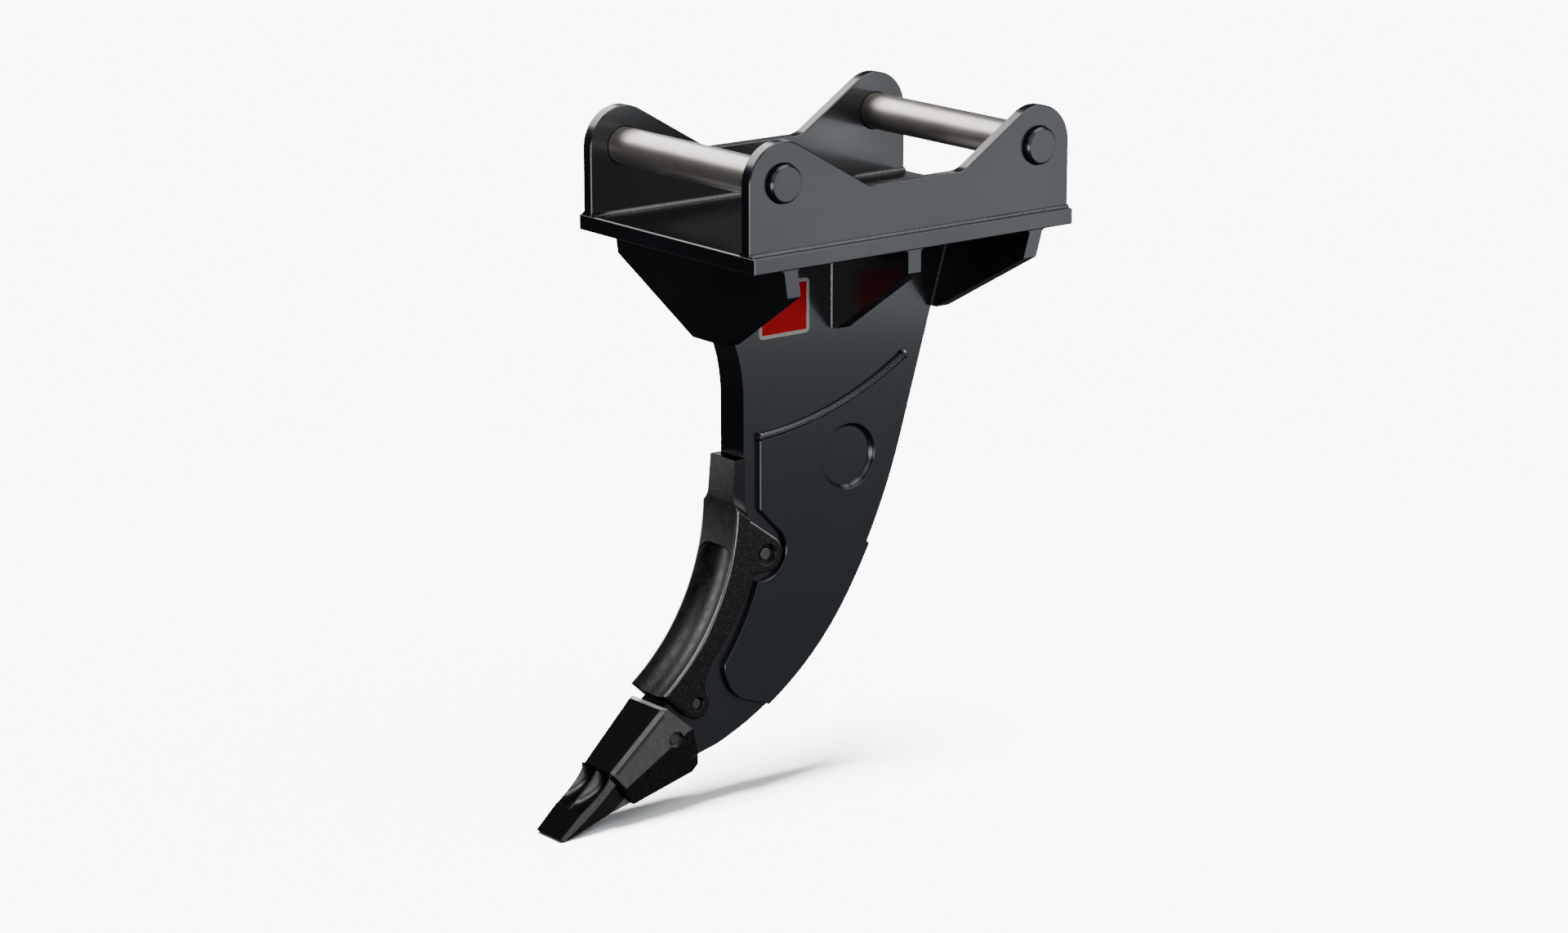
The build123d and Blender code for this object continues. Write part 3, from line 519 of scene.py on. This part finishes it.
def rippled_bead(name, side):
    """A row of puddles melted together on one flank: side is -1 for the near one, 1 for the far one."""
    chord = BEAD_ENDS[1] - BEAD_ENDS[0]
    sink = Vector((chord.z, 0, -chord.x)).normalized() * BEAD_SAG
    last = int(chord.length / PUDDLE_PITCH)
    row = [shape_puddle()]
    while len(row) <= last:
        bpy.ops.object.duplicate(linked=False)
        row.append(bpy.context.object)
    for number, puddle in enumerate(row):
        share = number / last
        puddle.location = BEAD_ENDS[0] + share * chord + 4 * share * (1 - share) * sink
        puddle.location.y = side * PUDDLE_DEPTH
        slope = chord + 4 * (1 - 2 * share) * sink
        puddle.rotation_euler.y = -atan2(slope.z, slope.x)
        puddle.scale = END_SWELL if number in (0, last) else (1, 1, 1)
        puddle.select_set(True)
    bpy.ops.object.join()
    bead = bpy.context.object
    bead.name = name
    bpy.ops.object.transform_apply(location=True, rotation=True, scale=True)
    melt = bead.modifiers.new("melt", "REMESH")
    melt.mode = "VOXEL"
    melt.voxel_size = SKIN_GRAIN
    bpy.ops.object.modifier_apply(modifier="melt")
    bpy.ops.object.shade_smooth()
    bead.data.materials.clear()
    bead.data.materials.append(bead_enamel)
    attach(bead, "root")
    return bead


ripples = [rippled_bead("bead_ripples_near", -1), rippled_bead("bead_ripples_far", 1)]
print("ripples:", [len(bead.data.polygons) for bead in ripples])

# %% [markdown]
# The floor is a wide sheet of matt white. It is left out of the reflections and of the light that the
# object receives, as a studio hides the table from a glossy object, so that the dark enamel keeps its
# depth.

# %% Floor
FLOOR_SIZE = 80

bpy.ops.object.select_all(action="DESELECT")
bpy.ops.mesh.primitive_plane_add(size=FLOOR_SIZE, location=(0, 0, cad_low.z))
floor = bpy.context.object
floor.name = "studio_floor"
floor_paint, _, floor_shader, _ = new_finish("matt_white_floor")
floor_shader.inputs["Base Color"].default_value = linear("#f4f5f6")
floor_shader.inputs["Roughness"].default_value = 0.9
floor_shader.inputs["Specular IOR Level"].default_value = 0.0
floor.data.materials.append(floor_paint)
floor.visible_glossy = False
floor.visible_diffuse = False
floor.visible_shadow = False
print("floor at", round(cad_low.z, 4))

# %% [markdown]
# The room is nearly black. Soft glows stand in it, each where a part of the object mirrors it: low on
# either side for the flanks, three faint ones round the walls, one beside the camera for upright edges,
# and two higher up for the edges that face up. Each row below is a glow: where it lies, the angles from
# there at which it starts and is full, in degrees, and its colour.

# %% Room glows
ROOM_DARK = (0.015, 0.015, 0.016)
GLOWS = (
    ((0.62, -0.77, -0.08), 26, 2, (0.37, 0.39, 0.44)),
    ((0.62, 0.77, -0.18), 26, 2, (0.37, 0.39, 0.44)),
    ((0.0, -1.0, -0.15), 45, 10, (0.13, 0.135, 0.15)),
    ((1.0, 0.0, -0.15), 45, 10, (0.13, 0.135, 0.15)),
    ((0.1, 1.0, -0.15), 40, 10, (0.11, 0.115, 0.13)),
    ((-0.75, -0.58, -0.15), 16, 5, (6.5, 6.7, 6.9)),
    ((-0.45, -0.65, 0.50), 26, 8, (1.2, 1.23, 1.28)),
    ((0.30, -0.36, 0.80), 34, 12, (3.2, 3.3, 3.4)),
)

world = bpy.data.worlds.new("studio_room")
bpy.context.scene.world = world
world.use_nodes = True
room = world.node_tree
room.nodes.clear()
way = add(room, "ShaderNodeTexCoord").outputs["Generated"]
total = None
for direction, edge, core, colour in GLOWS:
    aim = Vector(direction).normalized()
    toward = add(room, "ShaderNodeVectorMath", {1: aim}, {0: way}, operation="DOT_PRODUCT")
    spread = add(
        room,
        "ShaderNodeMapRange",
        {"From Min": cos(radians(edge)), "From Max": cos(radians(core))},
        {"Value": toward.outputs["Value"]},
        interpolation_type="SMOOTHSTEP",
    )
    share = add(room, "ShaderNodeVectorMath", {0: colour}, {"Scale": spread.outputs[0]}, operation="SCALE")
    if total is None:
        total = add(room, "ShaderNodeVectorMath", {1: ROOM_DARK}, {0: share.outputs[0]})
    else:
        total = add(room, "ShaderNodeVectorMath", links={0: share.outputs[0], 1: total.outputs[0]})
glow = add(room, "ShaderNodeBackground", {"Strength": 1.0}, {"Color": total.outputs[0]})
add(room, "ShaderNodeOutputWorld", links={"Surface": glow.outputs[0]})
print("glows:", len(GLOWS))


# %% [markdown]
# Glossy dark enamel shows hardly anything but reflections, so a pale panel stands far off on either side
# for the flanks, and small panels stand where one surface mirrors them: the bars, the guard's groove and
# rims, the tooth's faces. The small ones shine on their own pieces alone, or they would wash out the
# neighbours.


# %% Softboxes
def softbox(name, centre, aim, size, power, tint=(1, 1, 1)):
    """A square area light at a place, turned towards another."""
    lamp = bpy.data.lights.new(name, "AREA")
    lamp.shape = "RECTANGLE"
    lamp.size, lamp.size_y = size
    lamp.energy = power
    lamp.color = tint
    holder = bpy.data.objects.new(name, lamp)
    bpy.context.scene.collection.objects.link(holder)
    holder.location = centre
    holder.visible_camera = False
    holder.rotation_euler = (Vector(aim) - Vector(centre)).to_track_quat("-Z", "Y").to_euler()
    return holder


def only(holder, lit, shading=None):
    """Lets a light fall on some pieces alone, and if asked be blocked by some pieces alone."""
    for purpose, pieces in (("receiver", lit), ("blocker", shading)):
        if pieces is not None:
            group = bpy.data.collections.new(f"{holder.name}_{purpose}")
            for piece in pieces:
                group.objects.link(piece)
            setattr(holder.light_linking, f"{purpose}_collection", group)


DAYLIGHT = (0.9, 0.95, 1.0)
tooth, guard = nodes["tooth"], nodes["guard"]
far_plate = nodes["side_plate_right"]
head_names = ("front_pin", "rear_pin", "head_plate", "side_plate_left", "side_plate_right")
head = [nodes[name] for name in head_names]
beads = ripples + [nodes[name] for name in nodes if "wear" in name and "weld" in name]
softbox("flank_panel", (1.75, -2.0, -0.38), (0.3, 0, -0.1), (1.4, 1.0), 8, DAYLIGHT)
softbox("far_flank_panel", (1.75, 2.0, -0.38), (0.3, 0, -0.1), (1.4, 1.0), 8, DAYLIGHT)
only(softbox("bar_panel", (0.0, 1.15, 1.0), (0.2, 0, 0), (1.7, 0.9), 28), head)
only(softbox("scoop_panel", (0.52, 1.02, -0.84), (-0.12, 0, -0.97), (0.6, 0.5), 4), [tooth, guard])
only(softbox("groove_panel", (-0.75, 0.4, -0.04), (-0.03, 0, -0.9), (0.45, 0.45), 3.5), [guard])
only(softbox("tongue_panel", (-0.88, 1.155, -0.83), (0.05, 0, -0.62), (0.6, 0.6), 0.1), [guard])
only(softbox("rim_panel", (-0.45, 1.06, -0.54), (-0.03, 0, -0.9), (0.5, 0.5), 4.0), [guard])
only(softbox("ear_panel", (1.23, -0.445, -0.375), (0.1, -0.055, -0.7), (0.5, 0.5), 2.4), [guard], [guard])
only(softbox("top_panel", (-0.56, 1.155, -0.15), (-0.15, 0, -1.02), (0.6, 0.6), 0.08), [tooth])
only(softbox("chisel_panel", (-0.69, 0.056, -0.02), (-0.26, -0.01, -1.13), (0.3, 0.3), 1.6), [tooth])
only(softbox("facet_panel", (-0.61, -0.67, -0.19), (-0.26, -0.01, -1.13), (0.4, 0.4), 0.7), [tooth])
only(softbox("bead_panel", (1.03, 0.0, 0.41), (0.25, -0.04, -0.5), (1.1, 1.1), 60), beads, beads)
only(softbox("side_panel", (0.58, -1.22, -1.6), (-0.17, -0.05, -1.05), (0.7, 0.7), 1.15), [tooth])
only(softbox("mouth_panel", (0.67, 0.99, -0.66), (-0.11, 0, -0.985), (0.35, 0.35), 0.9), [tooth], [tooth])
only(softbox("far_panel", (1.0, -0.93, -0.37), (0.1, 0.23, 0), (0.8, 0.6), 2.0), [far_plate], [far_plate])

# %% [markdown]
# The floor has two lights of its own. A strong one from nearly overhead throws the shadow of the low
# pieces, so soft that it fades with their height, and a weak, very wide one lifts it a little.


# %% Light on the floor
def sky(name, power, spread, lean):
    """A far light from above, leaning by two angles."""
    lamp = bpy.data.lights.new(name, "SUN")
    lamp.energy = power
    lamp.angle = radians(spread)
    holder = bpy.data.objects.new(name, lamp)
    bpy.context.scene.collection.objects.link(holder)
    holder.rotation_euler = (radians(lean[0]), radians(lean[1]), 0)
    return holder


low_names = ("tooth", "guard", "shank", "wear_plate_left", "wear_plate_right")
low_pieces = [nodes[name] for name in low_names]
only(sky("floor_key", 30, 20, (3, -2)), [floor], low_pieces)
only(sky("floor_fill", 0.7, 120, (0, 0)), [floor])

# %% [markdown]
# The camera stands low on the left of the object, nearly eight metres away, with a long lens. It was
# fitted to the photograph, so its focal length was found in pixels of the photograph's width. It looks
# past the point LOOK_AT, a little to the left of it and below it.

# %% Camera
AZIMUTH, ELEVATION, ROLL = radians(-38.26), radians(14.702), radians(-0.029)
LOOK_AT = Vector((0.3, 0, -0.45))
DISTANCE, STEP_LEFT, STEP_DOWN = 7.95909, 0.079281, 0.159958
PHOTO_WIDTH = 1920
FOCAL_PIXELS = 5198.265
SENSOR_WIDTH = 36

back = Vector((sin(AZIMUTH) * cos(ELEVATION), -cos(AZIMUTH) * cos(ELEVATION), sin(ELEVATION)))
level = Vector((cos(AZIMUTH), sin(AZIMUTH), 0))
rise = back.cross(level)
right = cos(ROLL) * level + sin(ROLL) * rise
up = cos(ROLL) * rise - sin(ROLL) * level
eye = LOOK_AT + DISTANCE * back - STEP_LEFT * right - STEP_DOWN * up
lens = bpy.data.cameras.new("camera")
lens.sensor_width = SENSOR_WIDTH
lens.lens = FOCAL_PIXELS * SENSOR_WIDTH / PHOTO_WIDTH
lens.clip_end = 200
camera = bpy.data.objects.new("camera", lens)
bpy.context.scene.collection.objects.link(camera)
turn = Matrix((right, up, back)).transposed().to_4x4()
camera.matrix_world = Matrix.Translation(eye) @ turn
bpy.context.scene.camera = camera
print("camera at", [round(v, 3) for v in eye], "lens", round(lens.lens, 2))
